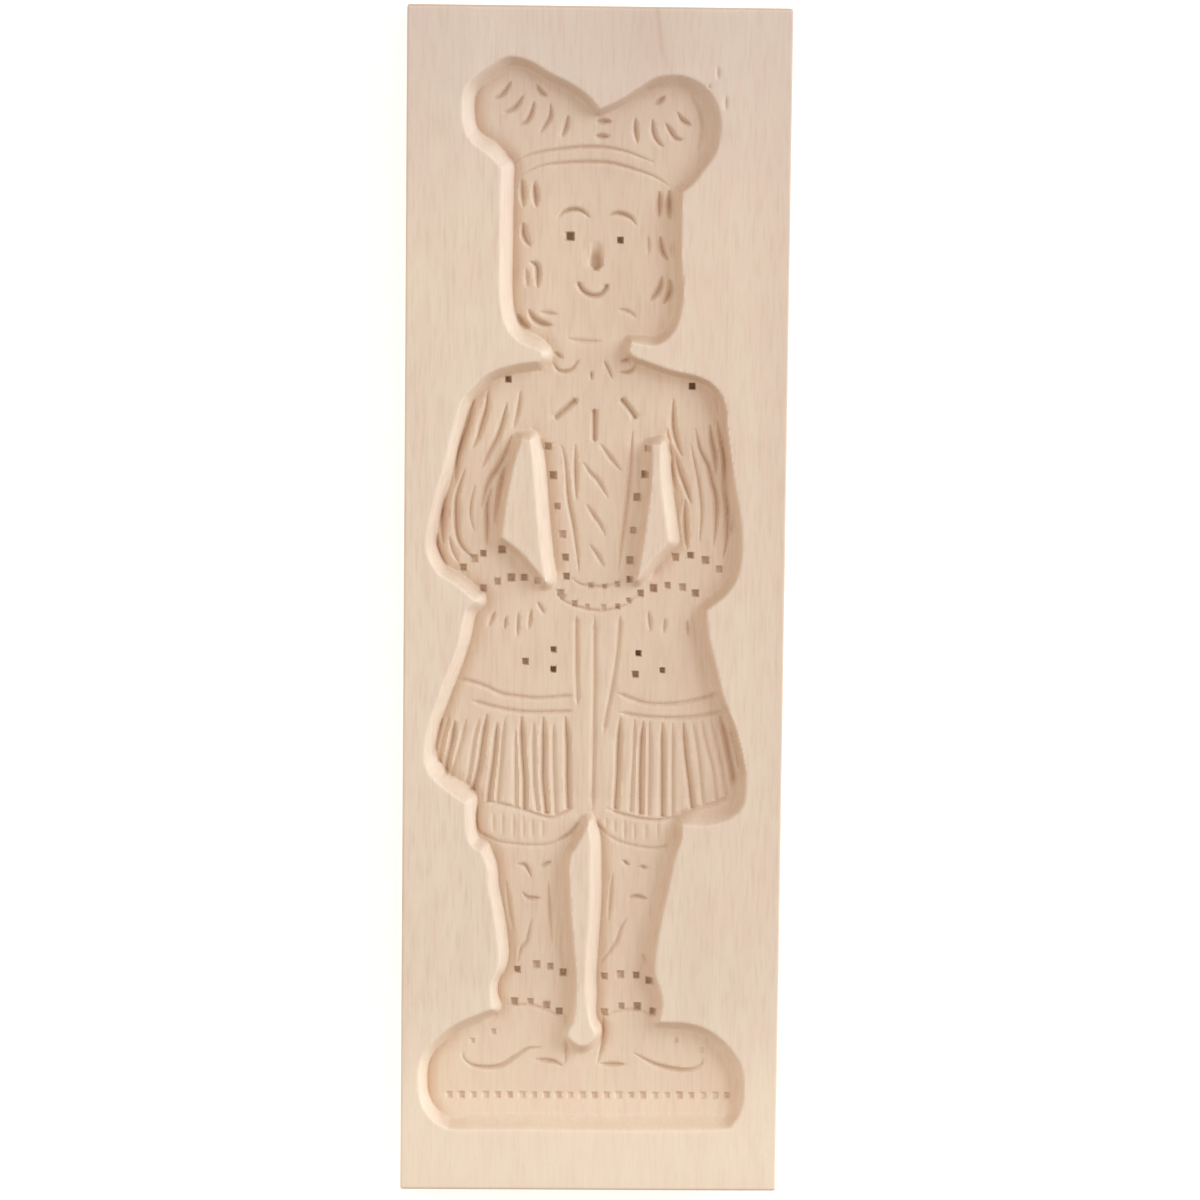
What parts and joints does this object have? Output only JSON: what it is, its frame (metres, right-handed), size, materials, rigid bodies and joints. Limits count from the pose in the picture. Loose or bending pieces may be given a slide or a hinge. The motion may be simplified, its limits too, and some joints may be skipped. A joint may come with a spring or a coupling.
{
  "type": "cookie mould",
  "caption": "Flat wooden mould with a standing costumed figure hollowed into its face, for pressing biscuit dough into shape.",
  "frame": {"origin": "middle of the flat back face, on which the mould lies", "axes": "+Z out of the carved face, +Y along the length from the shoes to the hat, +X across the width to the right as the figure is seen"},
  "size_m": [0.12, 0.375, 0.02],
  "materials": {
    "beech": "smooth unvarnished"
  },
  "bodies": {
    "root": {"carved_board": "beech"}
  },
  "joints": []
}
